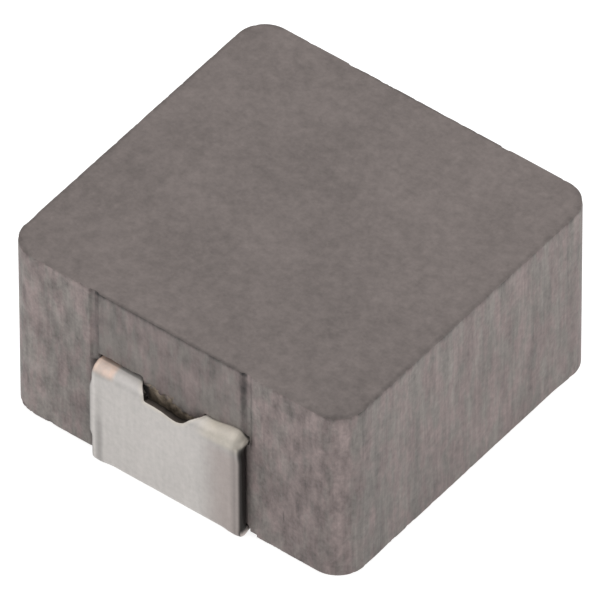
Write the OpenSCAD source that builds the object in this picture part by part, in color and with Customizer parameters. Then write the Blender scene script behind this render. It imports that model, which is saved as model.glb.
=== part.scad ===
// Shielded surface-mount power inductor: a copper coil pressed into a block of
// iron powder composite, with two folded strip terminals.
// +Z up, X along the terminal faces, Y from terminal to terminal. Origin on the
// plane of the two solder pads, in the middle of the part.

/* [Body] */
// Width of the pressed block, along its terminal faces
body_w = 12.6; // [12:0.1:15]
// Depth of the pressed block, from terminal face to terminal face
body_d = 12.15; // [12:0.05:13]
// Height of the pressed block
body_h = 6.55; // [6.5:0.05:7]
// Radius of the four upright corners
corner_r = 1.05; // [0.6:0.05:1.8]
// Chamfer that the punches leave along the top and bottom edges
edge_chamfer = 0.05; // [0.02:0.01:0.15]

/* [Terminals] */
// Thickness of the tinned copper strip
strip_t = 0.3; // [0.2:0.05:0.35]
// Width of each strip
lead_w = 5.55; // [4:0.05:6]
// Sideways shift of each strip from the middle of its face
lead_shift = 0; // [-0.3:0.05:0.3]
// How far each leg's outer face stands out from the body
lead_out = 0.43; // [0.36:0.01:0.6]
// Depth of the strip's upper surface below the top of the body
exit_drop = 2.56; // [2.3:0.01:2.6]
// Outer radius of the bend where the strip leaves the body
shoulder_r = 0.4; // [0.36:0.01:0.5]
// Outer radius of the bend from the leg to the solder pad
foot_r = 0.45; // [0.36:0.01:0.6]
// Length of the solder pad, from the leg's outer face
foot_len = 2.6; // [2:0.1:3.2]
// Height of the body above the solder pads' plane
stand_off = 0.07; // [0.05:0.01:0.15]
// Length of the tab that the body holds
tab_len = 1.9; // [1.6:0.1:2]

/* [Bend-relief notch] */
// Width of the notch at the strip's upper surface
notch_w = 2.3; // [1.8:0.05:2.6]
// Sideways shift of the notch from the middle of the strip
notch_shift = 0; // [-0.4:0.05:0.4]
// Depth of the notch's shelf below the strip's upper surface
notch_shelf = 0.33; // [0.31:0.01:0.4]
// Depth of the notch's round bottom below the strip's upper surface
notch_drop = 0.47; // [0.45:0.01:0.8]
// Radius of the notch's round bottom
notch_r = 0.55; // [0.4:0.05:0.65]
// Sideways shift of the round bottom from the middle of the notch
notch_r_shift = 0.25; // [-0.1:0.05:0.3]
// How far the notch runs back into the tab, behind the body's face
notch_in = 0.4; // [0.2:0.05:0.4]

/* [Pockets] */
// Width of the die insert beyond each edge of the strip
insert_gap = 0.2; // [0.15:0.05:0.4]
// Sideways shift of the die insert from the middle of the strip
insert_shift = -0.1; // [-0.1:0.05:0.1]
// Width of the insert's two guide tracks above the terminal
track_w = 0.3; // [0.15:0.05:0.4]
// Depth of these guide tracks
track_depth = 0.05; // [0.02:0.01:0.08]
// Depth of the pocket behind each leg
leg_pocket = 0.22; // [0.08:0.01:0.25]
// Slope of the leg pocket's side walls, measured along the face
leg_pocket_draft = 0.15; // [0.05:0.01:0.15]
// Gap between each solder pad and the pocket above it
pad_gap = 0.02; // [0.01:0.01:0.1]
// Space that this pocket leaves round each solder pad
foot_gap = 0.3; // [0.1:0.05:0.3]
// Gap between the strip's upper surface and the body where the strip comes out
mouth_gap = 0.05; // [0.02:0.01:0.1]

/* [Coil] */
// Diameter of the enamelled copper wire
wire_d = 1; // [0.8:0.05:1]
// Mean radius of the coil's turns
coil_r = 3.5; // [3:0.1:3.5]
// Rise of each turn
coil_pitch = 1.03; // [1.02:0.01:1.1]
// Whole turns between the two lead-outs
coil_turns = 3; // [3:1:4]

/* [Hidden] */
round_fn = 96;
// Cutting shapes reach this far past the face that they open
clear = 1;

body_z = stand_off;
body_top = body_z + body_h;
face_y = body_d / 2;
strip_top = body_top - exit_drop;
strip_low = strip_top - strip_t;
leg_y = face_y + lead_out;
tab_y = face_y - tab_len;
foot_end_y = leg_y - foot_len;
insert_w = lead_w + 2 * insert_gap;

// Die insert and notch: their middles along the face
insert_x = lead_shift + insert_shift;
notch_x = lead_shift + notch_shift;
notch_corner_r = 0.15;
// Depth of the opening above the strip, and radius of the pad pocket's inner corners
mouth_in = 0.12;
pocket_r = 0.5;

// Coil: the turns sit at mid-height, with a thin skin of space round the wire. Angles are counted from +X.
wire_r = wire_d / 2;
skin = 0.03;
out_from = 200;
out_to = 262;
turn_sweep = 360 * coil_turns + 2 * out_from - 360;
coil_rise = coil_pitch * turn_sweep / 360;
coil_low = body_z + (body_h - coil_rise) / 2;
coil_high = coil_low + coil_rise;

// Lead-outs: each swings from out_from to out_to onto a radius wider by swing_out wire diameters,
// runs on straight over its strip's tab, and changes level between rise_from and the end of rise_run.
swing_out = 1.25;
lead_r = coil_r + swing_out * wire_d;
lead_run = 2.5;
front_lead_z = strip_top + wire_r;
rear_lead_z = strip_low - wire_r;
straight_from = 270;
rise_from = 228;
rise_run = 1.25;
rise_per_mm = 22;
rise_span = straight_from - rise_from + rise_per_mm * rise_run;

wire_sides = 12;
turn_step = 10;
run_steps = 6;

// Upright block with round corners and chamfered edges
module rounded_block(w, d, h, r, c) {
    for (along = [0, 1]) {
        across = along == 0 ? w / 2 : d / 2;
        length = along == 0 ? d - 2 * r : w - 2 * r;
        rotate([90, 0, along * 90])
            linear_extrude(height = length, center = true)
                polygon([[-across + c, 0], [-across, c], [-across, h - c], [-across + c, h],
                         [across - c, h], [across, h - c], [across, c], [across - c, 0]]);
    }
    for (x = [-1, 1], y = [-1, 1])
        translate([x * (w / 2 - r), y * (d / 2 - r), 0])
            rotate_extrude($fn = round_fn)
                polygon([[0, 0], [r - c, 0], [r, c], [r, h - c], [r - c, h], [0, h]]);
}

// Outline of one folded strip in the Y-Z plane, for the front terminal
module strip_profile() {
    shoulder_y = -leg_y + shoulder_r;
    shoulder_z = strip_top - shoulder_r;
    foot_y = -leg_y + foot_r;
    translate([shoulder_y, strip_low]) square([leg_y - tab_y - shoulder_r, strip_t]);
    intersection() {
        bend(shoulder_y, shoulder_z, shoulder_r);
        translate([-leg_y, shoulder_z]) square(shoulder_r);
    }
    translate([-leg_y, foot_r]) square([strip_t, shoulder_z - foot_r]);
    intersection() {
        bend(foot_y, foot_r, foot_r);
        translate([-leg_y, 0]) square(foot_r);
    }
    translate([foot_y, 0]) square([leg_y - foot_end_y - foot_r, strip_t]);
    module bend(y, z, r) {
        translate([y, z]) difference() {
            circle(r, $fn = round_fn);
            circle(r - strip_t, $fn = round_fn);
        }
    }
}

// Notch in the X-Z plane, about its middle and the strip's upper surface: a flat shelf with
// sloping ends, and a round bottom to one side of its middle
module notch_outline() {
    half = notch_w / 2;
    polygon([[-half, clear], [-half, 0], [-half + notch_shelf, -notch_shelf],
             [half - notch_shelf, -notch_shelf], [half, 0], [half, clear]]);
    translate([notch_r_shift, notch_r - notch_drop]) circle(notch_r, $fn = round_fn);
}

// Slot in the X-Y plane, from y = from (outside) to y = to, with round inner corners
module slot_outline(w, from, to, r) {
    translate([-w / 2, from]) square([w, to - from - r]);
    translate([r - w / 2, from]) square([w - 2 * r, to - from]);
    for (side = [-1, 1]) translate([side * (w / 2 - r), to - r]) circle(r, $fn = round_fn);
}

// The part of the notch that runs back into the tab, with room above, below and outside of it
module tab_notch(below, height, outside) {
    translate([notch_x, 0, strip_low - below])
        linear_extrude(height = height)
            slot_outline(notch_w, -face_y - outside, notch_in - face_y, notch_corner_r);
}

// What the punch takes from the strip: through the bend and the leg, and through the tab
module notch_space() {
    overlap = 0.02;
    translate([notch_x, -face_y, strip_top]) rotate([90, 0, 0])
        linear_extrude(height = clear) notch_outline();
    tab_notch(overlap, strip_t + 2 * overlap, overlap);
}

module terminal() {
    difference() {
        translate([lead_shift - lead_w / 2, 0, 0])
            rotate([90, 0, 90]) linear_extrude(height = lead_w) strip_profile();
        notch_space();
    }
}

// Everything that one terminal and its die insert take out of the body
module terminal_space() {
    outside = -face_y - clear;
    difference() {
        translate([lead_shift - lead_w / 2, outside, strip_low]) {
            cube([lead_w, clear + tab_len, strip_t]);
            cube([lead_w, clear + mouth_in, strip_t + mouth_gap]);
        }
        // Powder is pressed through the tab's notch, flush with the face
        tab_notch(0, strip_t + mouth_gap, 0);
    }
    translate([insert_x, 0, 0]) {
        linear_extrude(height = strip_low) leg_pocket_outline();
        for (side = [-1, 1])
            translate([side * (insert_w - track_w) / 2 - track_w / 2, outside, strip_low])
                cube([track_w, clear + track_depth, body_top]);
    }
    translate([lead_shift, 0, 0])
        linear_extrude(height = strip_t + pad_gap)
            slot_outline(lead_w + 2 * foot_gap, outside, foot_gap - foot_end_y, pocket_r);
}

// Shallow pocket behind the leg, in the X-Y plane, with sloping side walls
module leg_pocket_outline() {
    half = insert_w / 2;
    inner = half - leg_pocket_draft;
    polygon([[-half, -face_y - clear], [-half, -face_y], [-inner, leg_pocket - face_y],
             [inner, leg_pocket - face_y], [half, -face_y], [half, -face_y - clear]]);
}

// Channel for one lead-out, between the turns and the strip's tab
module lead_space(low, high) {
    gap = wire_r + skin;
    translate([0, 0, low]) {
        rotate_extrude(angle = straight_from - out_from, start = out_from, $fn = round_fn)
            translate([coil_r - gap, 0]) square([lead_r - coil_r + 2 * gap, high - low]);
        translate([-gap, -lead_r - gap, 0])
            cube([lead_run + 2 * gap, 2 * gap, high - low]);
    }
}

// Space that the pressed powder leaves to the winding
module coil_space() {
    gap = wire_r + skin;
    translate([0, 0, coil_low - gap])
        rotate_extrude($fn = round_fn)
            translate([coil_r - gap, 0]) square([2 * gap, coil_rise + 2 * gap]);
    lead_space(front_lead_z - wire_r, coil_high + gap);
    mirror([0, 1, 0]) lead_space(coil_low - gap, rear_lead_z + wire_r);
}

module core_body() {
    color([0.45, 0.42, 0.41]) difference() {
        translate([0, 0, body_z]) rounded_block(body_w, body_d, body_h, corner_r, edge_chamfer);
        for (turn = [0, 180]) rotate([0, 0, turn]) terminal_space();
        coil_space();
    }
}

// Smooth step from 0 to 1
function ease(t) = let (u = min(max(t, 0), 1)) u * u * (3 - 2 * u);

// Front lead-out: the wire swings out of the last turn, then runs straight over the tab
function lead_point(a) =
    let (swing = ease((a - out_from) / (out_to - out_from)), r = coil_r + (lead_r - coil_r) * swing)
    [r * cos(a), r * sin(a)];

// The whole lead-out, from the level of its turn to its level at the tab
function lead_path(turn_z, tab_z, side) = concat(
    [for (a = [out_from + turn_step : turn_step : out_to])
        let (p = lead_point(a), risen = ease((a - rise_from) / rise_span))
        [p.x, side * p.y, turn_z + (tab_z - turn_z) * risen]],
    [for (i = [1 : run_steps])
        let (x = lead_run * i / run_steps,
             risen = ease((straight_from - rise_from + rise_per_mm * x) / rise_span))
        [x, -side * lead_r, turn_z + (tab_z - turn_z) * risen]]);

function reversed(list) = [for (i = [len(list) - 1 : -1 : 0]) list[i]];

coil_path = concat(
    reversed(lead_path(coil_low, rear_lead_z, -1)),
    [for (a = [0 : turn_step : turn_sweep])
        let (turn = a + 360 - out_from)
        [coil_r * cos(turn), coil_r * sin(turn), coil_low + coil_pitch * a / 360]],
    lead_path(coil_high, front_lead_z, 1));

// Round bar swept along a path that never stands upright
module swept_wire(path, r, sides) {
    last = len(path) - 1;
    rings = [for (i = [0 : last])
        let (t = path[min(i + 1, last)] - path[max(i - 1, 0)],
             along = t / norm(t),
             flat = cross(along, [0, 0, 1]),
             across = flat / norm(flat),
             up = cross(across, along))
        for (k = [0 : sides - 1])
            path[i] + r * (cos(360 * k / sides) * across + sin(360 * k / sides) * up)];
    walls = [for (i = [0 : last - 1], k = [0 : sides - 1])
        let (n = (k + 1) % sides)
        [i * sides + k, i * sides + n, (i + 1) * sides + n, (i + 1) * sides + k]];
    ends = [[for (k = [sides - 1 : -1 : 0]) k], [for (k = [0 : sides - 1]) last * sides + k]];
    polyhedron(points = rings, faces = concat(walls, ends), convexity = 10);
}

module coil() {
    color([0.72, 0.40, 0.22]) swept_wire(coil_path, wire_r, wire_sides);
}

module terminal_front() {
    color([0.75, 0.74, 0.72]) terminal();
}

module terminal_rear() {
    color([0.75, 0.74, 0.72]) rotate([0, 0, 180]) terminal();
}

core_body();
coil();
terminal_front();
terminal_rear();
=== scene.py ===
# %% [markdown]
# # A shielded surface-mount power inductor
# The real part is a coil of copper wire pressed inside a block of iron powder. Two strips of tinned
# copper come out of opposite faces and fold down and under to make the solder pads. Only the block and
# the strips are seen, so nearly all of the work here goes into four surfaces: the smooth top, the
# rubbed sides, the folded metal and its cut edges. Each step below first says what the thing is, then
# how it could be made, and why this way was chosen.

# %% The fixed frame from the CAD model
import math

import bpy
from mathutils import Matrix, Vector


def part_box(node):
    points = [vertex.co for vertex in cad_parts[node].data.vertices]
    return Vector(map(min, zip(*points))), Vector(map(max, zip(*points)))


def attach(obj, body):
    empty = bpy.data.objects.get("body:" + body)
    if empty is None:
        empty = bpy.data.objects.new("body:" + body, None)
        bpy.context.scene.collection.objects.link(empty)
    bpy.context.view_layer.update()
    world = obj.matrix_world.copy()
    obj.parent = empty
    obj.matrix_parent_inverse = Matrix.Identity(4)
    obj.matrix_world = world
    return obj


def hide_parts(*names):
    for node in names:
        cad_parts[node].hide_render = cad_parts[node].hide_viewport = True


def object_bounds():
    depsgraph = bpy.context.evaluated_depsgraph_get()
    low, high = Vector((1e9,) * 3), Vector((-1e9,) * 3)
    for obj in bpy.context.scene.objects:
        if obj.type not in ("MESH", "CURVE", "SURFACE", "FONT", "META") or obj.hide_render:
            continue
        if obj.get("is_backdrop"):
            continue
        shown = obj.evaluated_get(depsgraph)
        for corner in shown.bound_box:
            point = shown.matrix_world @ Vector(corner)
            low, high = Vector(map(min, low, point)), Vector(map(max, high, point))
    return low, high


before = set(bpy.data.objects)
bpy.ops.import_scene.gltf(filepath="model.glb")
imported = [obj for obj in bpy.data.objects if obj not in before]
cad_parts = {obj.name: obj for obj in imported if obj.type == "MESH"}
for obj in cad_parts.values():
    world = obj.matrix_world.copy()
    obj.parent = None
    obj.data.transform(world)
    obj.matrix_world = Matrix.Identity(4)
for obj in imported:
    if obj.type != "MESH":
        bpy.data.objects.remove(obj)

MM = 0.001


def rounded_mm(lengths):
    """Lengths in metres, as millimetres to print."""
    return [round(v / MM, 3) for v in lengths]


scene = bpy.context.scene
cad_box = [list(corner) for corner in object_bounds()]
body_low, body_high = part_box("core_body")
strip_low, strip_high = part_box("terminal_front")
print("block", rounded_mm(body_high - body_low), "mm")
print("front strip from", rounded_mm(strip_low), "to", rounded_mm(strip_high))

# %% [markdown]
# ## Camera
# A small part is usually shown through a very long lens, so that its upright edges stay parallel. The
# camera stands 38 degrees to the right of the front face, 45 degrees up, and about 0.6 m away. It is
# placed by its three axes instead of by angles in the Rotation fields, because then one short formula
# also holds the small roll.

# %% Place the camera
TURN, RISE, ROLL = math.radians(37.98), math.radians(44.96), -0.0029
ASIDE, ABOVE, AWAY = -0.033 * MM, 2.2625 * MM, 616.11 * MM
LENS, SENSOR = 1249.7, 36
NEAR, FAR = 0.05, 20
level = Vector((math.cos(TURN), math.sin(TURN), 0))
back = Vector((math.sin(TURN) * math.cos(RISE), -math.cos(TURN) * math.cos(RISE), math.sin(RISE)))
upright = back.cross(level)
right = math.cos(ROLL) * level + math.sin(ROLL) * upright
upward = -math.sin(ROLL) * level + math.cos(ROLL) * upright

camera = bpy.data.objects.new("Camera", bpy.data.cameras.new("Camera"))
scene.collection.objects.link(camera)
scene.camera = camera
camera.data.lens, camera.data.sensor_width = LENS, SENSOR
camera.data.clip_start, camera.data.clip_end = NEAR, FAR
stand = ASIDE * right + ABOVE * upward + AWAY * back + Vector((0, 0, body_low.z))
axes = Matrix((right, upward, back)).transposed().to_4x4()
camera.matrix_world = Matrix.Translation(stand) @ axes
print("camera stands at", [round(v, 4) for v in stand], "m")

# %% [markdown]
# ## Floor and light
# The part lies on a light table: a white floor that glows a little, so that shadows stay faint. A white
# sky gives an even base, and three big soft lamps add the slow changes from face to face. The Standard
# view keeps whites white.

# %% A glowing white floor
scene.view_settings.view_transform = "Standard"
scene.view_settings.look = "None"

FLOOR_HALF, FLOOR_DROP = 3.0, 0.02
quarters = ((-1, -1), (1, -1), (1, 1), (-1, 1))
floor_mesh = bpy.data.meshes.new("Floor")
floor_corners = [(a * FLOOR_HALF, b * FLOOR_HALF, -FLOOR_DROP * MM) for a, b in quarters]
floor_mesh.from_pydata(floor_corners, [], [(0, 1, 2, 3)])
floor = bpy.data.objects.new("Floor", floor_mesh)
scene.collection.objects.link(floor)
floor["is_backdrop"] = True

GLOW = {
    "Base Color": (0.55, 0.55, 0.55, 1),
    "Roughness": 0.9,
    "Specular IOR Level": 0.0,
    "Emission Color": (1, 1, 1, 1),
    "Emission Strength": 0.8,
}
floor_paint = bpy.data.materials.new("Light table")
floor_paint.use_nodes = True
for socket, value in GLOW.items():
    floor_paint.node_tree.nodes["Principled BSDF"].inputs[socket].default_value = value
floor_mesh.materials.append(floor_paint)
print("floor is", 2 * FLOOR_HALF, "m wide")

# %% A white sky and three soft lamps
sky = bpy.data.worlds.new("White sky")
sky.use_nodes = True
sky.node_tree.nodes["Background"].inputs["Color"].default_value = (1, 1, 1, 1)
sky.node_tree.nodes["Background"].inputs["Strength"].default_value = 0.55
scene.world = sky

# Each lamp: its place in metres, the side of its square in metres, and its power in watts.
LAMPS = {
    "Lamp above": ((-0.10, 0.12, 0.60), 0.50, 1.1),
    "Lamp right": ((0.62, -0.05, 0.30), 0.40, 0.9),
    "Lamp front": ((-0.25, -0.60, 0.30), 0.40, 0.6),
}
for name, (spot, side, watts) in LAMPS.items():
    lamp = bpy.data.lights.new(name, "AREA")
    lamp.shape, lamp.size, lamp.energy = "SQUARE", side, watts
    holder = bpy.data.objects.new(name, lamp)
    scene.collection.objects.link(holder)
    aim = (-Vector(spot)).to_track_quat("-Z", "Y")
    holder.matrix_world = Matrix.Translation(spot) @ aim.to_matrix().to_4x4()
print("lamps:", ", ".join(LAMPS))

# %% [markdown]
# ## Helpers for node trees
# Both the shapes and the finishes below are node trees. Written one node and one link at a time they
# would fill pages, so a few small helpers do that work: `add` makes a node and fills its sockets, `Num`
# is a number that flows through a tree and writes a Math node for each + - * / put on it, and `noise`
# gives a pattern. Lengths inside the trees are in millimetres, because "0.3" is easier to think about
# than "0.0003".

# %% Add a node and fill its sockets
def feed(tree, socket, value):
    """Gives a socket a link or a plain value."""
    if isinstance(value, Num):
        value = value.socket
    if isinstance(value, bpy.types.NodeSocket):
        tree.links.new(value, socket)
    else:
        socket.default_value = value


def add(tree, kind, inputs=(), **settings):
    """A new node with its settings and its inputs filled in."""
    node = tree.nodes.new(kind)
    for name, value in settings.items():
        setattr(node, name, value)
    for key, value in dict(inputs).items():
        feed(tree, node.inputs[key], value)
    return node


print("feed and add are ready")

# %% Numbers that write Math nodes
class Num:
    """A number in a node tree. Arithmetic on it adds Math nodes."""

    def __init__(self, tree, socket):
        self.tree, self.socket = tree, socket

    def math(self, operation, *others):
        node = add(self.tree, "ShaderNodeMath", dict(enumerate((self, *others))), operation=operation)
        return Num(self.tree, node.outputs[0])

    def __add__(self, other):
        return self.math("ADD", other)

    def __sub__(self, other):
        return self.math("SUBTRACT", other)

    def __mul__(self, other):
        return self.math("MULTIPLY", other)

    def __truediv__(self, other):
        return self.math("DIVIDE", other)

    def most(self, other):
        return self.math("MAXIMUM", other)

    def least(self, other):
        return self.math("MINIMUM", other)

    def size(self):
        return self.math("ABSOLUTE")

    def rest(self):
        """One minus this number."""
        return self.math("MULTIPLY_ADD", -1.0, 1.0)

    def ramp(self, start, end):
        """0 before start, 1 after end, and a smooth rise between them."""
        inputs = {"Value": self, "From Min": start, "From Max": end}
        node = add(self.tree, "ShaderNodeMapRange", inputs, interpolation_type="SMOOTHSTEP")
        return Num(self.tree, node.outputs["Result"])

    def band(self, start, end, soft):
        """1 between start and end, with soft borders."""
        return self.ramp(start - soft, start + soft) * self.ramp(end + soft, end - soft)


def total(numbers):
    """The sum of several numbers."""
    result, *others = numbers
    for number in others:
        result = result + number
    return result


print("Num and total are ready")

# %% Vectors, colours and noise
def vector_math(tree, operation, *vectors):
    """A vector calculated from others."""
    return add(tree, "ShaderNodeVectorMath", dict(enumerate(vectors)), operation=operation).outputs[0]


def scaled(tree, vector, factor):
    """A vector or a colour times a number."""
    return add(tree, "ShaderNodeVectorMath", {0: vector, "Scale": factor}, operation="SCALE").outputs[0]


def joined(tree, x=0.0, y=0.0, z=0.0):
    """A vector made of three numbers."""
    return add(tree, "ShaderNodeCombineXYZ", {"X": x, "Y": y, "Z": z}).outputs[0]


def split(tree, vector):
    """The three numbers of a vector."""
    node = add(tree, "ShaderNodeSeparateXYZ", {0: vector})
    return [Num(tree, node.outputs[axis]) for axis in "XYZ"]


def millimetres(tree, place):
    """A place in millimetres instead of metres, as a vector and as its three numbers."""
    vector = scaled(tree, place, 1 / MM)
    return vector, split(tree, vector)


def mixed(tree, low, high, share):
    """A colour between two others."""
    return add(tree, "ShaderNodeMix", {0: share, 6: low, 7: high}, data_type="RGBA").outputs[2]


def noise(tree, vector, stretch, detail=2.0, roughness=0.5, seed=0.0):
    """Noise whose spots are about 1/stretch wide along each axis."""
    shift = (seed, seed * 1.7, seed * 2.3)
    if isinstance(seed, Num):
        shift = joined(tree, *shift)
    place = vector_math(tree, "MULTIPLY_ADD", vector, stretch, shift)
    inputs = {"Vector": place, "Scale": 1.0, "Detail": detail, "Roughness": roughness}
    return Num(tree, add(tree, "ShaderNodeTexNoise", inputs).outputs[0])


print("noise and the vector helpers are ready")

# %% [markdown]
# ## Finish of the pressed powder
# Pressed iron powder is a dull, warm grey. The punch leaves the top smooth. The sides rub against the
# die as the block is pushed out, which draws fine upright streaks and leaves them a little lighter. Over
# each strip an insert in the die touches the face, and that panel stays darker and smoother. Along the top
# edge a thin dark line of painted shade is painted, with small painted highlights under it.
#
# One material does all of this. It finds each region from the place on the block and from the way the
# surface faces, so it needs no unwrapping and looks right from every side.

# %% Sizes that the shapes and the finishes share
TOP, HALF_X, FACE_Y = body_high.z / MM, body_high.x / MM, body_high.y / MM
STRIP_TOP, SHEET = strip_high.z / MM, 0.3
STRIP_LOW = STRIP_TOP - SHEET
CORNER_R = 1.0
FLAT_X = HALF_X - CORNER_R


def new_finish(name):
    """A material, its tree, its shader, and the coordinates of the object that wears it."""
    paint = bpy.data.materials.new(name)
    paint.use_nodes = True
    tree = paint.node_tree
    return paint, tree, tree.nodes["Principled BSDF"], add(tree, "ShaderNodeTexCoord").outputs


def along_face(x, y):
    """The place sideways on an end face. Both end faces agree, seen from outside."""
    return x * y.math("SIGN") * -1.0


def inset_from_walls(x, y):
    """How far a point lies inside the upright walls. It holds up to the corner radius."""
    past_x = (x.size() - FLAT_X).most(0.0)
    past_y = (y.size() - (FACE_Y - CORNER_R)).most(0.0)
    return (past_x * past_x + past_y * past_y).math("SQRT") * -1.0 + CORNER_R


print("block top at", round(TOP, 3), "mm, strip top at", round(STRIP_TOP, 3), "mm")

# %% Regions of the block
powder, tree, shader, own = new_finish("Pressed powder")
in_mm, (x, y, z) = millimetres(tree, own["Object"])
*_, nz = split(tree, own["Normal"])

upper = nz.ramp(0.45, 0.75)
lower = nz.ramp(-0.45, -0.75)
walls = (upper + lower).rest()
end_face = y.size().ramp(FACE_Y - 0.6, FACE_Y - 0.4)
flat_end = end_face * x.size().ramp(FLAT_X + 0.1, FLAT_X - 0.1)
along = along_face(x, y)
across = y * x.math("SIGN")
right_end = along.ramp(2.9, 4.5)
left_end = along.ramp(-3.7, -4.5)
insert = along.band(-2.95, 2.72, 0.03) * end_face
inset = inset_from_walls(x, y)
over_edge = inset * -1.0 - z + TOP
sunk = inset * end_face * z.ramp(TOP - 0.3, TOP - 0.5) * z.ramp(0.12, 0.2)
print("regions use", len(tree.nodes), "nodes")

# %% [markdown]
# `over_edge` is a handy ruler: it is zero on the top edge, counts down the wall as a plus and back over
# the top as a minus, all the way round the block. `sunk` tells how deep a point of an end face lies
# below the face. `along` and `across` run sideways over the end faces and the long walls, and both
# agree with the block turned half round. The patterns are all noise, stretched in different ways: round
# spots for the top, tall thin spots for the draw marks, and grain so fine that it only just shows.

# %% Patterns of the block
spots = noise(tree, in_mm, (3.4, 3.4, 3.4), 3.0, 0.6) - 0.5
clouds = noise(tree, in_mm, (0.4, 0.4, 0.4), 2.0, 0.5, 3.0) - 0.5
grain = noise(tree, in_mm, (9.0, 9.0, 7.0), 2.0, 0.6, 5.0) - 0.5
streaks = noise(tree, in_mm, (8.0, 8.0, 0.7), 3.0, 0.6, 7.0) - 0.5
bundles = noise(tree, in_mm, (1.6, 1.6, 0.3), 2.0, 0.5, 11.0) - 0.5
# These spots place the painted shade on the round edge and the painted highlights under it.
edge_light_spots = noise(tree, in_mm, (1.6, 1.6, 0.6), 3.0, 0.7, 13.0)
mottle = noise(tree, in_mm, (2.4, 2.4, 1.3), 3.0, 0.55, 19.0) - 0.5
hue = noise(tree, in_mm, (2.6, 2.6, 0.9), 2.0, 0.6, 29.0)

# The top is painted a little lighter towards the back, as painted light.
top_tone = spots * 0.7 + clouds * 0.4 + grain * 0.22 + y * 0.006
# Each long wall is painted darker near one corner, as painted shade.
long_wall = streaks * 0.9 + bundles * 0.8 + grain * 0.5 + spots * 0.7 - across.ramp(-2.5, -4.5) * 0.09
# Each end face is painted darker towards its right end, as painted shade.
end_wall = streaks * 0.65 + bundles * 0.5 + grain * 0.7 + mottle * 1.5 - right_end * 0.1
insert_tone = streaks * 0.45 + bundles * 0.35 + grain * 0.4 + mottle * 1.1 - z * 0.088 + 0.34
end_tone = end_wall * insert.rest() + insert_tone * insert
tone = top_tone * walls.rest() + (end_tone * end_face + long_wall * end_face.rest()) * walls
print("with patterns:", len(tree.nodes), "nodes")

# %% [markdown]
# The dark line along the top edge is painted shade. It is strongest over the insert, weaker on the long
# walls and round the corners, and missing on the rest of the end faces, where a light band of painted
# highlight lies under the edge instead. The insert's tracks show as dark lines of painted shade. A few
# single marks, such as nicks and pits, are set one by one: every real block has some, and noise alone
# looks too even.

# %% Painted shade and highlights along the edge and the tracks
# Each track line of painted shade: its start and end, how soft its borders are, and how dark it is.
TRACK_SHADE_LINES = [(2.47, 2.68, 0.08, 0.42), (2.84, 2.89, 0.03, 0.38), (-3.16, -2.77, 0.05, 0.22)]
lined = flat_end.rest()
# Under the edge, a light band on part of each end face and bright spots elsewhere are painted highlights.
highlight_stretch = along.band(-4.4, -3.0, 0.15) * end_face
# The dark line over the insert, on the round edge and under it is painted shade, and so are the track lines.
over_insert = over_edge.band(-0.05, 0.07, 0.1) * insert * 0.44
round_edge = over_edge.band(-0.12, 0.05, 0.08) * lined * edge_light_spots.ramp(0.2, 0.45) * 0.17
under_edge = over_edge.ramp(0.26, 0.03) * walls * lined * 0.16
rim_highlight = over_edge.band(0.08, 0.2, 0.06) * walls * (highlight_stretch * 0.14 + edge_light_spots.ramp(0.55, 0.68) * 0.1)
tracks = total([along.band(start, end, soft) * dark for start, end, soft, dark in TRACK_SHADE_LINES]) * end_face
lines = over_insert + round_edge + under_edge + tracks * z.ramp(3.4, 3.8) * walls
print(len(TRACK_SHADE_LINES), "track lines on each end face")

# %% Single marks
# Each mark: its place sideways, its height, its width, its length, and its change of tone.
END_MARKS = [
    (4.07, 1.6, 0.06, 0.34, -0.45),
    (-4.74, 6.38, 0.1, 0.18, -0.3),
    (-4.6, 4.9, 0.07, 2.4, 0.09),
    (-5.3, 2.9, 0.07, 0.22, -0.2),
    (-4.36, 2.85, 0.16, 0.3, -0.1),
    # This broad darker patch right of the strip is the strip's painted shadow.
    (3.55, 3.0, 0.5, 2.2, -0.07),
    (4.55, 2.2, 0.05, 0.5, -0.15),
    (3.35, 4.4, 0.05, 1.0, -0.12),
]
LONG_MARKS = [
    (0.95, 4.2, 0.22, 1.3, -0.07),
    (4.0, 1.7, 0.09, 0.3, -0.2),
    (2.9, 1.6, 0.16, 1.0, -0.09),
    (-5.95, 4.1, 0.09, 0.4, -0.28),
    (-4.9, 5.2, 0.8, 0.07, -0.1),
    (-2.3, 2.2, 0.1, 0.9, -0.08),
]


def mark(sideways, at, height, wide, tall):
    """One soft mark on an upright face."""
    column = sideways.band(at - wide / 2, at + wide / 2, wide / 3)
    return column * z.band(height - tall / 2, height + tall / 2, tall / 3)


end_marks = total([mark(along, *spot) * change for *spot, change in END_MARKS])
long_marks = total([mark(across, *spot) * change for *spot, change in LONG_MARKS])
marks = (end_marks * end_face + long_marks * end_face.rest()) * walls
print(len(END_MARKS) + len(LONG_MARKS), "single marks")

# %% [markdown]
# Behind the strip's notch the pocket's border is broken. Its floor there is painted browner and lighter,
# as painted light, with dark and light crumbs, while the rest of each pocket is painted darker, as painted
# shade. Low down the walls are painted darker, as painted shade, except near one corner of each end face.

# %% Painted light and shade in the pockets and low on the walls
# Behind the notch the pocket floor is painted browner and lighter, as painted light, with dark and light
# crumbs; the rest of each pocket is painted darker, as painted shade.
lit_notch_floor = along.band(-1.0, 1.1, 0.1) * sunk.ramp(0.01, 0.05)
pocket_shade_and_light = sunk.ramp(0.06, 0.2) * lit_notch_floor.rest() * 0.3 - lit_notch_floor * (spots * 5.0 + 0.6)
tone = (tone - lines + rim_highlight + marks + 1.0) * pocket_shade_and_light.rest()
LOW_TONE, TONE_PER_MM = 0.785, 0.021
# Painted shade: the walls are darker low down. Near one corner of each end face, painted light lifts them.
shade = z * TONE_PER_MM + LOW_TONE + end_face * left_end * (z * -TONE_PER_MM + 0.15)
tone = tone * (shade.rest() * walls).rest()
print("a wall's tone at its foot is", LOW_TONE)

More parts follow.
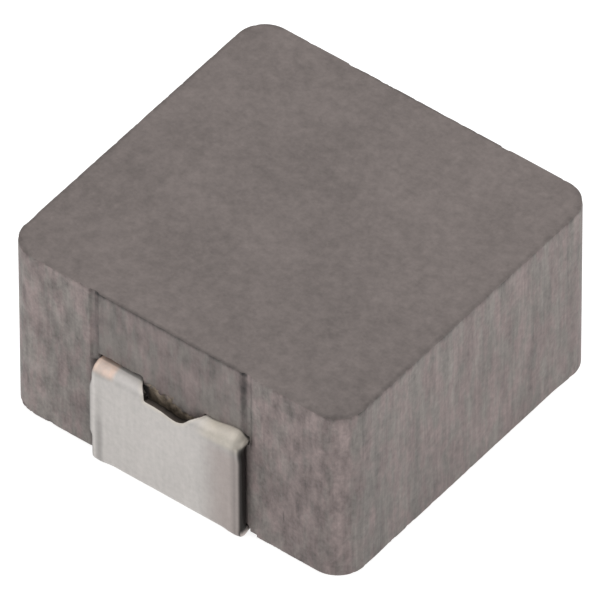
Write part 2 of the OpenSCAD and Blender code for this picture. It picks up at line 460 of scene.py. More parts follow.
# %% Wire up the powder
TOP_COLOUR = (0.200, 0.170, 0.160, 1)
WALL_COOL, WALL_WARM = (0.206, 0.185, 0.171, 1), (0.226, 0.180, 0.172, 1)
# The lighter brown of the floor behind the notch, painted light in its shade.
LIT_NOTCH_BROWN = (0.240, 0.195, 0.150, 1)
POWDER_RELIEF = 0.022


def bumped(tree, height, depth):
    """A surface roughened by a height pattern, whose full range is depth millimetres."""
    return add(tree, "ShaderNodeBump", {"Height": height, "Distance": depth * MM}).outputs["Normal"]


warmth = hue.ramp(0.35, 0.65) + right_end * end_face * 0.5
plain = mixed(tree, TOP_COLOUR, mixed(tree, WALL_COOL, WALL_WARM, warmth), walls)
plain = mixed(tree, plain, LIT_NOTCH_BROWN, lit_notch_floor)
relief = spots * 0.35 + grain * 0.5 + streaks * walls * 0.9
feed(tree, shader.inputs["Base Color"], scaled(tree, plain, tone))
feed(tree, shader.inputs["Roughness"], streaks * walls * 0.3 + spots * 0.1 + 0.72 - walls * 0.1)
feed(tree, shader.inputs["Normal"], bumped(tree, relief, POWDER_RELIEF))
shader.inputs["Specular IOR Level"].default_value = 0.35
print("pressed powder:", len(tree.nodes), "nodes")

# %% [markdown]
# ## Growing a piece from a node tree
# Each shape below is a Geometry Nodes tree that starts from a small given outline. `new_tree` opens
# one and names its inputs. `grow` runs the tree once and keeps the result as a plain mesh, so nothing
# is left live on the finished piece.

# %% Opening and running a shape tree
KINDS = {
    float: "NodeSocketFloat",
    int: "NodeSocketInt",
    bpy.types.Material: "NodeSocketMaterial",
    bpy.types.Object: "NodeSocketObject",
}


def new_tree(name, inputs):
    """A shape tree with one named input for each value, and the sockets they arrive on."""
    tree = bpy.data.node_groups.new(name, "GeometryNodeTree")
    tree.interface.new_socket("Outline", in_out="INPUT", socket_type="NodeSocketGeometry")
    for label, value in inputs.items():
        tree.interface.new_socket(label, in_out="INPUT", socket_type=KINDS[type(value)])
    tree.interface.new_socket("Shape", in_out="OUTPUT", socket_type="NodeSocketGeometry")
    return tree, add(tree, "NodeGroupInput").outputs


def close_tree(tree, geometry, material):
    """Every tree ends the same way: real faces, with their finish."""
    solid = add(tree, "GeometryNodeRealizeInstances", {"Geometry": geometry})
    dressed = add(tree, "GeometryNodeSetMaterial", {"Geometry": solid.outputs[0], "Material": material})
    add(tree, "NodeGroupOutput", {0: dressed.outputs[0]})


def grow(name, tree, outline, inputs):
    """Runs a tree on an outline of points and edges or faces, and returns the plain piece."""
    mesh = bpy.data.meshes.new(name + "_outline")
    mesh.from_pydata(*outline)
    seedling = bpy.data.objects.new(name + "_outline", mesh)
    scene.collection.objects.link(seedling)
    modifier = seedling.modifiers.new("Grow", "NODES")
    modifier.node_group = tree
    for item in tree.interface.items_tree:
        if item.in_out == "INPUT" and item.name in inputs:
            modifier[item.identifier] = inputs[item.name]
    grown = seedling.evaluated_get(bpy.context.evaluated_depsgraph_get())
    made = bpy.data.meshes.new_from_object(grown)
    made.name = name
    bpy.data.objects.remove(seedling)
    piece = bpy.data.objects.new(name, made)
    scene.collection.objects.link(piece)
    spans = [max(axis) - min(axis) for axis in zip(*(v.co for v in made.vertices))]
    triangles = sum(len(face.vertices) - 2 for face in made.polygons)
    print(name, "measures", rounded_mm(spans), "mm and has", triangles, "triangles")
    return piece


def chained(points):
    """An outline of points in millimetres, each one joined to the next."""
    places = [tuple(v * MM for v in point) for point in points]
    return places, [(i, i + 1) for i in range(len(places) - 1)], []


print("a tree can take", len(KINDS), "kinds of input")

# %% Small shape helpers
WELD, SOLID_WELD = 0.00003, 0.001


def moved(tree, geometry, shift):
    """Adds a shift in millimetres to every point."""
    inputs = {"Geometry": geometry, "Offset": scaled(tree, shift, MM)}
    return add(tree, "GeometryNodeSetPosition", inputs).outputs[0]


def together(tree, *parts):
    """Several shapes as one."""
    node = tree.nodes.new("GeometryNodeJoinGeometry")
    for part in parts:
        tree.links.new(part, node.inputs[0])
    return node.outputs[0]


def flipped(tree, mesh):
    """The same faces, turned to the other side."""
    return add(tree, "GeometryNodeFlipFaces", {"Mesh": mesh}).outputs[0]


def welded(tree, mesh, reach):
    """Points that lie closer together than reach, in millimetres, become one."""
    return add(tree, "GeometryNodeMergeByDistance", {"Geometry": mesh, "Distance": reach * MM}).outputs[0]


def equals(tree, number, wanted):
    """True where a whole number is the wanted one."""
    inputs = {2: number, 3: wanted}
    return add(tree, "FunctionNodeCompare", inputs, data_type="INT", operation="EQUAL").outputs[0]


def filleted(tree, curve, radius, count):
    """A curve with its corners rounded by count points each."""
    inputs = {"Curve": curve, "Count": count, "Radius": radius}
    return add(tree, "GeometryNodeFilletCurve", inputs, mode="POLY").outputs[0]


def filled(tree, curve):
    """One flat face inside a closed curve."""
    return add(tree, "GeometryNodeFillCurve", {"Curve": curve}, mode="NGONS").outputs[0]


def thickened(tree, face, height):
    """A closed solid between a face that looks up and the same face height metres above it."""
    inputs = {"Mesh": face, "Offset Scale": height, "Individual": False}
    upper = add(tree, "GeometryNodeExtrudeMesh", inputs).outputs[0]
    return welded(tree, together(tree, upper, flipped(tree, face)), SOLID_WELD)


def carved(tree, solid, tools):
    """A closed solid less some closed tools."""
    less = add(tree, "GeometryNodeMeshBoolean", operation="DIFFERENCE", solver="MANIFOLD")
    tree.links.new(solid, less.inputs[0])
    for tool in tools:
        tree.links.new(tool, less.inputs[1])
    return less.outputs[0]


def softly_shaded(tree, mesh, degrees):
    """Smooth shading, broken only where two faces meet at more than this angle."""
    inputs = {"Geometry": mesh, "Shade Smooth": True}
    smooth = add(tree, "GeometryNodeSetShadeSmooth", inputs, domain="FACE").outputs[0]
    angle = add(tree, "GeometryNodeInputMeshEdgeAngle").outputs[0]
    limits = {0: angle, 1: math.radians(degrees)}
    gentle = add(tree, "FunctionNodeCompare", limits, operation="LESS_THAN").outputs[0]
    inputs = {"Geometry": smooth, "Shade Smooth": gentle}
    return add(tree, "GeometryNodeSetShadeSmooth", inputs, domain="EDGE").outputs[0]


print("points weld within", WELD, "mm")

# %% [markdown]
# ## Finish of the winding wire
# Nobody sees the coil unless the block is taken away, but it still gets the look of real winding wire:
# copper under a thin clear amber enamel, with slow changes of tone along the wire.

# %% Finish of the enamelled wire
DEEP_COPPER, LIGHT_COPPER = (0.60, 0.22, 0.09, 1), (0.80, 0.38, 0.17, 1)
enamel, tree, shader, own = new_finish("Enamelled copper wire")
in_mm, _ = millimetres(tree, own["Object"])
amber = noise(tree, in_mm, (0.5, 0.5, 1.2), 3.0, 0.5, 1.0)
specks = noise(tree, in_mm, (9.0, 9.0, 9.0), 2.0, 0.6, 2.0)
copper = mixed(tree, DEEP_COPPER, LIGHT_COPPER, amber.ramp(0.3, 0.7))
feed(tree, shader.inputs["Base Color"], scaled(tree, copper, (specks - 0.5) * 0.2 + 1.0))
feed(tree, shader.inputs["Roughness"], (specks - 0.5) * 0.2 + 0.34)
feed(tree, shader.inputs["Normal"], bumped(tree, amber + specks * 0.2, 0.02))
for socket, value in (("Metallic", 1.0), ("Coat Weight", 0.6), ("Coat Roughness", 0.15)):
    shader.inputs[socket].default_value = value
print("enamel:", len(tree.nodes), "nodes")

# %% [markdown]
# ## The coil
# The wire climbs three turns and a bit, and each end swings out of the winding to run over its strip's
# tab. Its middle line is written as points by a short rule, and a tree sweeps a round section along it.
# It is made before the block, because the block is then pressed round it, turn by turn.

# %% The wire's middle line
WIRE_R, COIL_R, PITCH = 0.5, 3.5, 1.03
OUT_FROM, OUT_TO, SWEEP, TURN_STEP = 200, 262, 1120, 5
STRAIGHT_FROM, RISE_FROM, RISE_SPAN, RISE_PER_MM = 270, 228, 70, 22
LEAD_RUN, LEAD_STEPS = 2.5, 8
LEAD_R = COIL_R + 2.5 * WIRE_R
coil_rise = PITCH * SWEEP / 360
coil_low = (body_low.z + body_high.z) / 2 / MM - coil_rise / 2
coil_high = coil_low + coil_rise


def ease(t):
    """A smooth step from 0 to 1."""
    t = min(max(t, 0), 1)
    return t * t * (3 - 2 * t)


def lead_out(turn_z, tab_z, side):
    """Points of one end, from its last turn to its strip's tab."""
    line = []
    for angle in range(OUT_FROM + TURN_STEP, OUT_TO + TURN_STEP, TURN_STEP):
        at = math.radians(min(angle, STRAIGHT_FROM))
        r = COIL_R + (LEAD_R - COIL_R) * ease((angle - OUT_FROM) / (OUT_TO - OUT_FROM))
        risen = ease((angle - RISE_FROM) / RISE_SPAN)
        line.append((r * math.cos(at), side * r * math.sin(at), turn_z + (tab_z - turn_z) * risen))
    for step in range(1, LEAD_STEPS + 1):
        run = LEAD_RUN * step / LEAD_STEPS
        risen = ease((STRAIGHT_FROM - RISE_FROM + RISE_PER_MM * run) / RISE_SPAN)
        line.append((run, -side * LEAD_R, turn_z + (tab_z - turn_z) * risen))
    return line


winding = []
for degrees in range(0, SWEEP + 1, TURN_STEP):
    a = math.radians(degrees + 360 - OUT_FROM)
    winding.append((COIL_R * math.cos(a), COIL_R * math.sin(a), coil_low + PITCH * degrees / 360))
first_end = lead_out(coil_low, STRIP_LOW - WIRE_R, -1)
wire = first_end[::-1] + winding + lead_out(coil_high, STRIP_TOP + WIRE_R, 1)
print("wire is", round(sum(math.dist(a, b) for a, b in zip(wire, wire[1:])), 1), "mm long")

# %% Sweep the wire
COIL = {"Wire radius": WIRE_R * MM, "Sides": 24, "Finish": enamel}
tree, given = new_tree("Wound wire", COIL)
middle = add(tree, "GeometryNodeMeshToCurve", {"Mesh": given["Outline"]}).outputs[0]
circle = {"Resolution": given["Sides"], "Radius": given["Wire radius"]}
section = add(tree, "GeometryNodeCurvePrimitiveCircle", circle).outputs[0]
sweep = {"Curve": middle, "Profile Curve": section, "Fill Caps": True}
swept = add(tree, "GeometryNodeCurveToMesh", sweep).outputs[0]
close_tree(tree, softly_shaded(tree, swept, 50), given["Finish"])
coil = grow("wound_coil", tree, chained(wire), COIL)
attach(coil, "root")
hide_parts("coil")

# %% [markdown]
# ## The block
# The block is a rounded square with the same soft edge all the way round. That is a rule, so the shape
# is swept: one edge profile, drawn below as a row of points from the underside over the side to the
# top, is carried round a filleted square, and two flat caps close it. The many points on the profile
# and on the square leave room to press the insert's tracks, the pocket behind each leg and the small
# chips straight into the skin, and all of them come out with soft pressed edges. Cutting them with
# booleans would give knife edges that pressed powder never has. Booleans are kept for the deep places
# that hold the metal.

# %% One profile of the block's edge
EDGE_R, CAP_IN = 0.045, 0.7
STEP, FINE_STEP = 0.09, 0.045
MOUTH_FROM, MOUTH_TO = 3.3, 4.4


def edge_profile(low, high):
    """Points (inset, height) from the underside, up the side, to the top."""
    tall = high - low
    angles = [math.radians(15 * i) for i in range(7)]
    turn = [(EDGE_R * (1 - math.sin(a)), EDGE_R * (1 - math.cos(a))) for a in angles]
    bottom = [(inset, 0.0) for inset in (CAP_IN, 0.5, 0.36, 0.26, 0.18, 0.115, 0.08)] + turn
    side = [0.08, 0.12]
    while side[-1] < tall - 0.16:
        fine = MOUTH_FROM < side[-1] < MOUTH_TO or side[-1] > tall - 0.35
        side.append(side[-1] + (FINE_STEP if fine else STEP))
    top = [(inset, tall - height) for inset, height in reversed(bottom)]
    points = bottom + [(0.0, height) for height in side] + top
    return [(inset, low + height) for inset, height in points]


profile = [(-back_by, -height, 0) for back_by, height in edge_profile(body_low.z / MM, TOP)]
print("profile has", len(profile), "points")

# %% [markdown]
# The tree below has five steps: sweep the skin, press the shallow shapes into it, chip its edges, close
# the two caps, and cut the deep places. Its widths arrive in metres, ready for the nodes that use them,
# and its depths in millimetres, ready for the arithmetic.

# %% Start the block's tree and sweep its skin
BLOCK = {
    "Width": body_high.x - body_low.x,
    "Depth": body_high.y - body_low.y,
    "Corner radius": CORNER_R * MM,
    "Columns": 700,
    "Track depth": 0.05,
    "Leg pocket depth": 0.22,
    "Edge chips": 0.05,
    "Crumble seed": 2.0,
    "Chip seed": 17.0,
    "Wander seed": 23.0,
    "Winding": coil,
    "Finish": powder,
}
tree, given = new_tree("Pressed block", BLOCK)
sides = {"Width": given["Width"], "Height": given["Depth"]}
square = add(tree, "GeometryNodeCurvePrimitiveQuadrilateral", sides).outputs[0]
rail = filleted(tree, square, given["Corner radius"], 24)
rail = add(tree, "GeometryNodeResampleCurve", {"Curve": rail, "Count": given["Columns"]}).outputs[0]
rail = add(tree, "GeometryNodeSetCurveNormal", {"Curve": rail}, mode="Z_UP").outputs[0]
outline = add(tree, "GeometryNodeMeshToCurve", {"Mesh": given["Outline"]}).outputs[0]
skin = add(tree, "GeometryNodeCurveToMesh", {"Curve": rail, "Profile Curve": outline}).outputs[0]
skin = flipped(tree, skin)
print("skin will have", BLOCK["Columns"], "columns")

# %% [markdown]
# The pressing rule is one line of thought: a point of an end face may stand no further out than the
# face less the local depth. Both faces share it, because the part looks the same when it is turned half
# round. Points that lie behind the face already keep a little of their spacing. Without that, rows of
# points under a pocket would fall together, and the block would no longer be a clean closed solid.

# %% Press the tracks and pockets into the end faces
SPACING_KEPT = 0.15
in_mm, (x, y, z) = millimetres(tree, add(tree, "GeometryNodeInputPosition").outputs[0])
along = along_face(x, y)
ragged = noise(tree, in_mm, (5.0, 5.0, 5.0), 3.0, 0.6, Num(tree, given["Crumble seed"])) - 0.5

# The insert leaves two upright tracks, one at each side of the strip.
tracks = along.band(2.6, 2.88, 0.03) + along.band(-3.07, -2.8, 0.03)
tracks = tracks * z.ramp(STRIP_LOW, STRIP_LOW + 0.1) * Num(tree, given["Track depth"])

# A shallow pocket lies behind the leg. Its upper border is ragged where the notch lays it bare.
in_notch = along.band(-1.1, 1.1, 0.2)
broken = in_notch * (ragged * 0.8 - along.ramp(-0.2, 0.4) * 0.3 + 0.1)
behind_leg = along.ramp(2.75, 2.3) * along.ramp(-3.1, -2.85)
below_tab = (z - broken).ramp(STRIP_LOW + 0.08, STRIP_LOW - 0.04)
leg_pocket = behind_leg * below_tab * (in_notch * -0.72 + 1.0) * Num(tree, given["Leg pocket depth"])

# A thin seam follows the left part of the slot's mouth.
seam_height = (z + ragged * 0.05).band(STRIP_TOP - 0.3, STRIP_TOP + 0.07, 0.03)
seam = seam_height * (along + ragged * 0.2).band(-2.8, -1.18, 0.06) * 0.12

depth = tracks.most(leg_pocket).most(seam)
behind_face = y.size() * -1.0 + FACE_Y
allowed = (behind_face * -SPACING_KEPT - depth + FACE_Y).least(y.size())
pressed = moved(tree, skin, joined(tree, y=(allowed - y.size()) * y.math("SIGN")))
print("leg pockets are", BLOCK["Leg pocket depth"], "mm deep")

# %% [markdown]
# Real edges are never perfect. Small chips are missing along the top and bottom edges, the walls wander
# by a hundredth of a millimetre, and a thin flash hangs under one corner.

# %% Chip the edges and let the walls wander a little
inset = inset_from_walls(x, y)
at_rim = inset.ramp(0.22, 0.06)
at_edge = z.ramp(TOP - 0.22, TOP - 0.02) * at_rim + z.ramp(0.3, 0.12) * at_rim
rough_end = (y * -1.0).ramp(FACE_Y - 1.0, FACE_Y - 0.5) * x.ramp(-2.7, -3.4)
chips = noise(tree, in_mm, (2.6, 2.6, 4.0), 4.0, 0.65, Num(tree, given["Chip seed"])).ramp(0.5, 0.78)
chip_depth = chips * at_edge * (rough_end * 0.9 + 0.7) * Num(tree, given["Edge chips"])
wander = noise(tree, in_mm, (0.5, 0.5, 0.16), 1.0, 0.5, Num(tree, given["Wander seed"]))
wander = wander * 0.012 * inset.ramp(0.12, 0.02)
facing = add(tree, "GeometryNodeInputNormal").outputs[0]
chipped = moved(tree, pressed, scaled(tree, facing, (chip_depth + wander) * -1.0))
flash = (x + y).ramp(10.2, 11.4) * z.ramp(0.35, 0.1) * inset.ramp(0.4, 0.05) * 0.08
chipped = moved(tree, chipped, joined(tree, z=flash * -1.0))
print("chips are up to", BLOCK["Edge chips"], "mm deep")

# %% Close the caps
# An edge with a single face beside it lies on a rim. Its height tells the upper rim from the lower one.
HALFWAY = 3.0
neighbours = add(tree, "GeometryNodeInputMeshEdgeNeighbors").outputs[0]
open_edges = {"Mesh": chipped, "Selection": equals(tree, neighbours, 1)}
rims = add(tree, "GeometryNodeMeshToCurve", open_edges).outputs[0]
parts = [chipped]
for level, side in ((body_high.z, 1), (body_low.z, -1)):
    wanted = {"Geometry": rims, "Selection": z.ramp(HALFWAY, HALFWAY + side * 0.001)}
    rim = add(tree, "GeometryNodeSeparateGeometry", wanted, domain="POINT").outputs[0]
    cap = filled(tree, rim)
    if side < 0:
        cap = flipped(tree, cap)
    parts.append(moved(tree, cap, (0, 0, level / MM)))
closed = welded(tree, together(tree, *parts), WELD)
print("the skin and", len(parts) - 1, "caps are one solid")

# %% [markdown]
# Five places in each half are cut with closed tools. The slot that holds the tab is three slabs side by
# side, and the middle one stops short of the face, so a plug of powder stays behind the notch. Under the
# block one slab makes room for the folded end, and a wider, lower one leaves a small lip beside it. The
# last tool is the coil itself: its own mesh cuts its space, so the powder touches every turn.

# %% Cut the slots, the pockets under the block and the coil's space
TAB = 1.9
LEAD_LEFT, LEAD_RIGHT = strip_low.x / MM, strip_high.x / MM
LEG_Y, FOOT_END = strip_low.y / MM, strip_high.y / MM
TAB_END, OUTSIDE, BELOW = -FACE_Y + TAB, -FACE_Y - 1, -1
PLUG_LEFT, PLUG_RIGHT, PLUG_BACK = -1.12, 1.14, -FACE_Y + 0.38
TIGHT = 0.01
SLOTS = [
    (LEAD_LEFT - TIGHT, PLUG_LEFT, OUTSIDE),
    (PLUG_LEFT - 0.1, PLUG_RIGHT + 0.1, PLUG_BACK),
    (PLUG_RIGHT, LEAD_RIGHT + TIGHT, OUTSIDE),
]
# Each pocket under the block: its gap round the strip, the height of its roof, and its corner radius.
POCKETS = [(0.3, 0.19, 0.5), (0.05, SHEET + 0.02, 0.1)]


def slab(tree, low, high, radius):
    """A box with round upright corners, in millimetres."""
    width, length, height = [(b - a) * MM for a, b in zip(low, high)]
    edge = add(tree, "GeometryNodeCurvePrimitiveQuadrilateral", {"Width": width, "Height": length})
    box = thickened(tree, filled(tree, filleted(tree, edge.outputs[0], radius * MM, 10)), height)
    centre = ((low[0] + high[0]) / 2 * MM, (low[1] + high[1]) / 2 * MM, low[2] * MM)
    return add(tree, "GeometryNodeTransform", {"Geometry": box, "Translation": centre}).outputs[0]


slabs = []
for left, right_side, front_y in SLOTS:
    low, high = (left, front_y, STRIP_LOW - TIGHT), (right_side, TAB_END, STRIP_TOP + TIGHT)
    slabs.append(slab(tree, low, high, 0.02))
for gap, roof, radius in POCKETS:
    low, high = (LEAD_LEFT - gap, OUTSIDE, BELOW), (LEAD_RIGHT + gap, FOOT_END + gap, roof)
    slabs.append(slab(tree, low, high, radius))
tools = [add(tree, "GeometryNodeObjectInfo", {"Object": given["Winding"]}).outputs["Geometry"]]
for turn in (0, math.pi):
    for cutter in slabs:
        turned = {"Geometry": cutter, "Rotation": (0, 0, turn)}
        tools.append(add(tree, "GeometryNodeTransform", turned).outputs[0])
cut = welded(tree, carved(tree, closed, tools), WELD)
close_tree(tree, softly_shaded(tree, cut, 32), given["Finish"])
block = grow("pressed_block", tree, chained(profile), BLOCK)
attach(block, "root")
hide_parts("core_body")

# %% [markdown]
# ## Finish of the tinned strip
# The strips are copper with a thin coat of tin. Tin is a soft, slightly cloudy metal: bright, but with
# no sharp reflections. Where the strip was bent, at the shoulder, the coat is stretched and a warm
# pinkish and straw tone comes through, painted lighter as painted light. The cut edges are duller. Most
# of the darkening along them and elsewhere on the strip is painted shade, and the up-facing parts get
# painted light.

# %% Regions and patterns of the strip
tin, tree, shader, own = new_finish("Tinned copper strip")
in_mm, (x, y, z) = millimetres(tree, own["Object"])
nx, ny, nz = split(tree, own["Normal"])
along = along_face(x, y)
near_rim = Num(tree, add(tree, "ShaderNodeAttribute", attribute_name="near_rim").outputs["Fac"])
deep = Num(tree, add(tree, "ShaderNodeAttribute", attribute_name="sheet_depth").outputs["Fac"])
cloud = noise(tree, in_mm, (1.1, 1.1, 1.1), 3.0, 0.55, 1.0) - 0.5
fleck = noise(tree, in_mm, (6.0, 6.0, 6.0), 3.0, 0.6, 4.0) - 0.5
wipe = noise(tree, in_mm, (6.0, 6.0, 0.8), 3.0, 0.6, 6.0) - 0.5

# The pink and straw tones are painted lighter than the coat, as painted light on the shoulder.
pink = z.ramp(3.7, 3.9) * along.ramp(-1.9, -2.15) * (cloud * 2.0 + 0.9)
straw = z.ramp(3.5, 3.85) * along.ramp(0.9, 1.7) * (cloud + 1.0)
# The leg's right part is painted darker and pinker, as a painted reflection.
rosy = along.ramp(1.2, 2.2) * z.ramp(3.8, 3.2)
bent = z.ramp(3.6, 3.85)
punched = near_rim.ramp(0.9, 0.99)
cut_face = punched * ny.size().ramp(0.75, 0.45)
print("regions and patterns use", len(tree.nodes), "nodes")

# %% [markdown]
# The darkening is a sum of places: the sheared edges at the strip's sides, the margins beside them, the
# mouth of the slot, and the raw face of the notch. The notch's raw copper and a little of the sheared
# sides are the metal's own dull colour; the rest is painted shade. The right edge is painted darkest.

# %% Where the strip is dull, and its painted shade and highlights
# Strip sides: a little darker as duller cut metal, and much darker below the shoulder as painted shade.
on_side = nx.size().ramp(0.45, 0.8) * punched.rest()
side_shade_and_oxide = on_side * (z.ramp(3.95, 3.75) * 0.8 + 0.14) * z.ramp(0.2, 0.45) * along.ramp(-0.1, 0.1)

# The leg's right half, the strip beside its right edge and the lip there are painted darker, as painted
# shade.
margin = along.ramp(0.9, 2.2) * 0.26 + along.ramp(2.36, 2.5) * 0.12 + along.band(2.52, 2.58, 0.05) * 0.1
lip = along.ramp(2.64, 2.74) * 0.5 * z.ramp(3.9, 3.75)
right_shade = (margin * (z.ramp(3.7, 4.0) * -0.4 + 1.0) + lip) * on_side.rest()
# The strip's right corner by the block's face is painted darker, as painted shade.
right_corner_shade = along.ramp(2.5, 2.68) * (z.ramp(3.75, 3.85) * 0.2 + z.ramp(3.95, 4.05) * 0.15)

# On the left, the rolled rim and the far edge are painted darker as painted shade, plus a darker patch at
# the bend and a darker line down the leg.
left_rim_shade = nx.size().ramp(0.05, 0.7) * along.ramp(0.1, -0.1) * 0.4
left_bend = along.ramp(-2.0, -2.35) * z.band(3.65, 3.8, 0.08) * 0.12
left_line = along.band(-2.58, -2.36, 0.1) * (z.ramp(3.4, 1.8) * 0.12 + z.ramp(2.3, 1.7) * 0.12 + 0.06)
left_shade_and_lines = left_rim_shade + left_bend + left_line + along.ramp(-2.72, -2.82) * 0.25
# A thin painted highlight runs beside the far left edge.
left_highlight = along.band(-2.7, -2.62, 0.04) * 0.08

# The strip is painted darker where it enters the block's slot, as painted shade.
mouth = y.size().ramp(FACE_Y + 0.05, FACE_Y - 0.02) * 0.45
# The notch's cut face is raw copper, painted darker towards the sheet's inner side as painted shade.
notch_oxide_and_shade = cut_face * (deep * 0.5 + 0.4)
dirt_and_shade = total([side_shade_and_oxide, right_shade, right_corner_shade, left_shade_and_lines, mouth, notch_oxide_and_shade]) - left_highlight
# Random tone, and up-facing parts painted lighter as painted light.
light = cloud * 0.2 + fleck * 0.4 + wipe * 0.2 + nz.ramp(0.4, 0.95) * 0.6 + 1.0
light = light * dirt_and_shade.least(0.94).rest()
print("with dirt:", len(tree.nodes), "nodes")

# %% Wire up the tin
TIN, PINK, STRAW = (0.47, 0.447, 0.429, 1), (0.71, 0.52, 0.42, 1), (0.59, 0.54, 0.47, 1)
ROSY, CREAM, RAW = (0.465, 0.412, 0.39, 1), (0.72, 0.66, 0.57, 1), (0.16, 0.125, 0.095, 1)
TIN_RELIEF = 0.012
# The lip beside the notch's rim gets a cream painted highlight.
notch_rim_highlight = near_rim * cut_face.rest() * deep.ramp(0.3, 0.1) * 0.5
layers = ((PINK, pink), (STRAW, straw), (ROSY, rosy), (CREAM, notch_rim_highlight), (RAW, cut_face * 0.7))
colour = TIN
for layer, share in layers:
    colour = mixed(tree, colour, layer, share)
feed(tree, shader.inputs["Base Color"], scaled(tree, colour, light))
feed(tree, shader.inputs["Metallic"], bent * -0.7 + 0.9)
feed(tree, shader.inputs["Roughness"], fleck * 0.25 + cloud * 0.15 + 0.5)
feed(tree, shader.inputs["Normal"], bumped(tree, fleck * 0.25 + wipe * 0.5 + cloud * 0.7, TIN_RELIEF))
print("tin:", len(tree.nodes), "nodes")

# %% [markdown]
# ## The folded strip
# A terminal is stamped flat and then folded, and it is made here in the same order. A thin flat blank
# is divided finely, its long edges are rounded, and the notch that eases the bend is cut from it. Only
# then is the blank laid along a folded path: each point keeps its distance from the middle of the
# sheet, and takes its place from the path at its own length. A swept profile could make the bends too,
# but not the notch that runs through one of them.

# %% The flat blank's sizes and its notch
SHOULDER_R, FOOT_R = 0.4, 0.45
mid_top, mid_leg, mid_foot = STRIP_TOP - SHEET / 2, LEG_Y + SHEET / 2, SHEET / 2
fold = [(TAB_END, mid_top), (mid_leg, mid_top), (mid_leg, mid_foot), (FOOT_END, mid_foot)]
bends = [SHOULDER_R - SHEET / 2, FOOT_R - SHEET / 2]
straight = sum(math.dist(a, b) for a, b in zip(fold, fold[1:]))
BLANK = straight - sum(r * (2 - math.pi / 2) for r in bends)
TO_FOOT = BLANK - (FOOT_END - mid_leg) + FOOT_R

# The notch's outline: sideways place, and length past the block's face.
NOTCH = [
    (-1.16, -0.4), (-1.14, 0.0), (-1.05, 0.1), (-0.91, 0.227), (-0.84, 0.33), (-0.81, 0.395), (-0.75, 0.415),
    (-0.45, 0.415), (-0.15, 0.437), (0.0, 0.47), (0.147, 0.507), (0.3, 0.53), (0.41, 0.53), (0.5, 0.5),
    (0.65, 0.425), (0.865, 0.257), (1.01, 0.16), (1.10, 0.10), (1.17, 0.0), (1.2, -0.4),
]
notch_points = [(at * MM, (BLANK / 2 - (TAB + past)) * MM, -SHEET * MM) for at, past in NOTCH]
notch_face = (notch_points, [], [tuple(range(len(NOTCH)))])
print("blank is", round(BLANK, 3), "mm long, its notch", max(past for _, past in NOTCH), "mm deep")

# %% Round the long edges of the blank
STRIP = {
    "Width": strip_high.x - strip_low.x,
    "Length": BLANK * MM,
    "Thickness": SHEET * MM,
    "Edge round": 0.09,
    "Edge curl": 0.07,
    "Dents": 0.02,
    "Dent seed": 9.0,
    "Finish": tin,
}
tree, given = new_tree("Folded strip", STRIP)
sides = joined(tree, given["Width"], given["Length"], given["Thickness"])
divided = {"Size": sides, "Vertices X": 96, "Vertices Y": 150, "Vertices Z": 5}
blank = add(tree, "GeometryNodeMeshCube", divided).outputs[0]
in_mm, (x, y, z) = millimetres(tree, add(tree, "GeometryNodeInputPosition").outputs[0])
half_w = Num(tree, given["Width"]) * (0.5 / MM)
half_t = Num(tree, given["Thickness"]) * (0.5 / MM)
round_r = Num(tree, given["Edge round"])

# The cross-section's corners are pulled in to a quarter circle.
away_x = x - x.size().least(half_w - round_r) * x.math("SIGN")
away_z = z - z.size().least(half_t - round_r) * z.math("SIGN")
reach = (away_x * away_x + away_z * away_z).math("SQRT").most(round_r)
pull_in = round_r / reach - 1.0
rounded = moved(tree, blank, joined(tree, away_x * pull_in, 0.0, away_z * pull_in))
print("edges are rounded by", STRIP["Edge round"], "mm")

# %% [markdown]
# The notch is then punched out. Two facts are written down on the blank as named attributes before it
# is folded, because afterwards they would be hard to find again: how near each point is to the punched
# rim, and how deep it lies in the sheet. The finish reads both. It gives the raw copper of the cut its
# dull brown, painted darker towards the sheet's inner side as painted shade, and the lip beside it a
# cream painted highlight.

# %% Punch the notch and roll its rim over
# The punch is far taller than the sheet is thick, so it passes right through.
PUNCH_TALL = 1.0
punch = thickened(tree, given["Outline"], PUNCH_TALL)
stamped = carved(tree, rounded, [punch])
rim_line = add(tree, "GeometryNodeMeshToCurve", {"Mesh": given["Outline"]}).outputs[0]
rim_mesh = add(tree, "GeometryNodeCurveToMesh", {"Curve": rim_line}).outputs[0]
measured = {0: rim_mesh, 2: joined(tree, x * MM, y * MM, -SHEET * MM)}
distance = add(tree, "GeometryNodeProximity", measured, target_element="EDGES").outputs[1]
off_rim = Num(tree, distance) / MM
facts = {"near_rim": off_rim.ramp(0.12, 0.0), "sheet_depth": z / half_t * -0.5 + 0.5}
for label, value in facts.items():
    fact = {"Geometry": stamped, "Name": label, "Value": value}
    stamped = add(tree, "GeometryNodeStoreNamedAttribute", fact).outputs[0]
rolled = moved(tree, stamped, joined(tree, z=z * off_rim.ramp(0.08, 0.0) * -0.3))
print("the blank remembers", " and ".join(facts))

# %% [markdown]
# The folded path is a line of four points with two filleted corners. A little spare length at each end
# keeps every point of the blank on the path. `laid` looks up the place on the path at a given length,
# and steps off it by the height in the sheet.

# %% A folded path and a way to lay points on it
SPARE, PATH_STEP = 0.5, 0.03


def folded_path(tree, radii):
    """The middle line of the folded sheet in the Y-Z plane."""
    start, *middle, end = fold
    longer = [(start[0] + SPARE, start[1]), *middle, (end[0] + SPARE, end[1])]
    ends = {f"Point {i + 1}": (0, py * MM, pz * MM) for i, (py, pz) in enumerate(longer)}
    loop = add(tree, "GeometryNodeCurvePrimitiveQuadrilateral", ends, mode="POINTS").outputs[0]
    index = add(tree, "GeometryNodeInputIndex").outputs[0]
    radius = total([Num(tree, equals(tree, index, i + 1)) * (r * MM) for i, r in enumerate(radii)])
    inputs = {"Curve": filleted(tree, loop, radius, 16), "Length": PATH_STEP * MM}
    return add(tree, "GeometryNodeResampleCurve", inputs, mode="LENGTH").outputs[0]


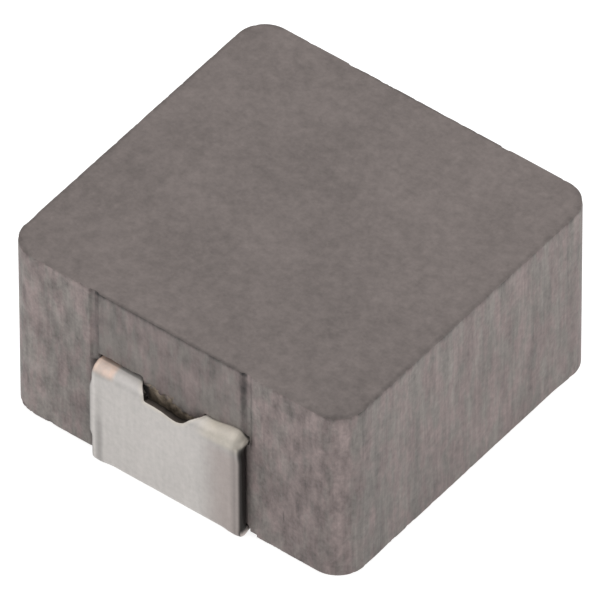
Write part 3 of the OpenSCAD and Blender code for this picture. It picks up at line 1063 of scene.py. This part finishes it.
def laid(tree, path, length, height, wide):
    """Where a blank's point comes to lie on a path."""
    inputs = {"Curves": path, "Length": (length + SPARE) * MM}
    sample = add(tree, "GeometryNodeSampleCurve", inputs, mode="LENGTH")
    outward = vector_math(tree, "CROSS_PRODUCT", sample.outputs["Tangent"], (1, 0, 0))
    outward = vector_math(tree, "NORMALIZE", outward)
    on_line = vector_math(tree, "ADD", sample.outputs["Position"], scaled(tree, outward, height * MM))
    return vector_math(tree, "ADD", on_line, joined(tree, wide * MM))


print("path turns over", len(bends), "bends")

# %% [markdown]
# A real strip is never quite flat. One side bulges a little below the shoulder, the other curls back
# along the leg, the shoulder is lifted right of the notch, and the folded end's corners turn up. Near
# its sides the lower fold is tighter than in the middle, so two folded paths are blended.

# %% Lay the blank along its folded path
TIGHT_FOOT_R = 0.18
BULGE, SHOULDER_LIFT, SHOULDER_DIP, LEFT_DIP, CORNER_CURL = 0.09, 0.15, 0.03, 0.04, 0.17
length = y * -1.0 + BLANK / 2
from_edge = x.size() - half_w
bulging = x.ramp(-2.3, -2.75) * length.ramp(TAB + 0.6, TAB + 1.0) * length.ramp(TAB + 3.0, TAB + 2.75)
wide = x - bulging * BULGE + (LEAD_LEFT + LEAD_RIGHT) / 2
curl = wide.ramp(LEAD_RIGHT - 0.6, LEAD_RIGHT + 0.1) * length.band(TAB + 0.7, TO_FOOT - 0.4, 0.3)
dents = noise(tree, joined(tree, wide, length), (0.45, 0.35, 1.0), 2.0, 0.5, Num(tree, given["Dent seed"]))
height = z - curl * Num(tree, given["Edge curl"]) + (dents - 0.5) * Num(tree, given["Dents"])
soft_fold = laid(tree, folded_path(tree, bends), length, height, wide)
tight_fold = laid(tree, folded_path(tree, (bends[0], TIGHT_FOOT_R)), length, height, wide)
blend = {0: from_edge.ramp(-0.8, -0.25), 4: soft_fold, 5: tight_fold}
resting = add(tree, "ShaderNodeMix", blend, data_type="VECTOR").outputs[1]

lifted = wide.ramp(1.5, 2.4) * wide.ramp(2.75, 2.45) * SHOULDER_LIFT
lifted = lifted - wide.band(1.3, 1.6, 0.3) * SHOULDER_DIP - wide.ramp(-0.7, -1.2) * LEFT_DIP
curled = from_edge.ramp(-0.25, 0.0) * length.ramp(TO_FOOT - 0.5, TO_FOOT) * CORNER_CURL
lift = lifted * length.ramp(TAB + 0.7, TAB + 0.3) + curled
settled = vector_math(tree, "ADD", resting, joined(tree, z=lift * MM))
folded = add(tree, "GeometryNodeSetPosition", {"Geometry": rolled, "Position": settled}).outputs[0]
close_tree(tree, softly_shaded(tree, folded, 50), given["Finish"])
front = grow("strip_front", tree, notch_face, STRIP)

# %% The rear strip is the same one, turned half round
rear = bpy.data.objects.new("strip_rear", front.data.copy())
rear.data.name = "strip_rear"
rear.data.transform(Matrix.Rotation(math.pi, 4, "Z"))
scene.collection.objects.link(rear)
for strip, cad_node in ((front, "terminal_front"), (rear, "terminal_rear")):
    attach(strip, "root")
    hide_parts(cad_node)
print("two strips in place")

# %% Keep the boxes, and finish
seen_box = [list(corner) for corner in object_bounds()]
print("CAD box", [rounded_mm(corner) for corner in cad_box])
print("visual box", [rounded_mm(corner) for corner in seen_box])
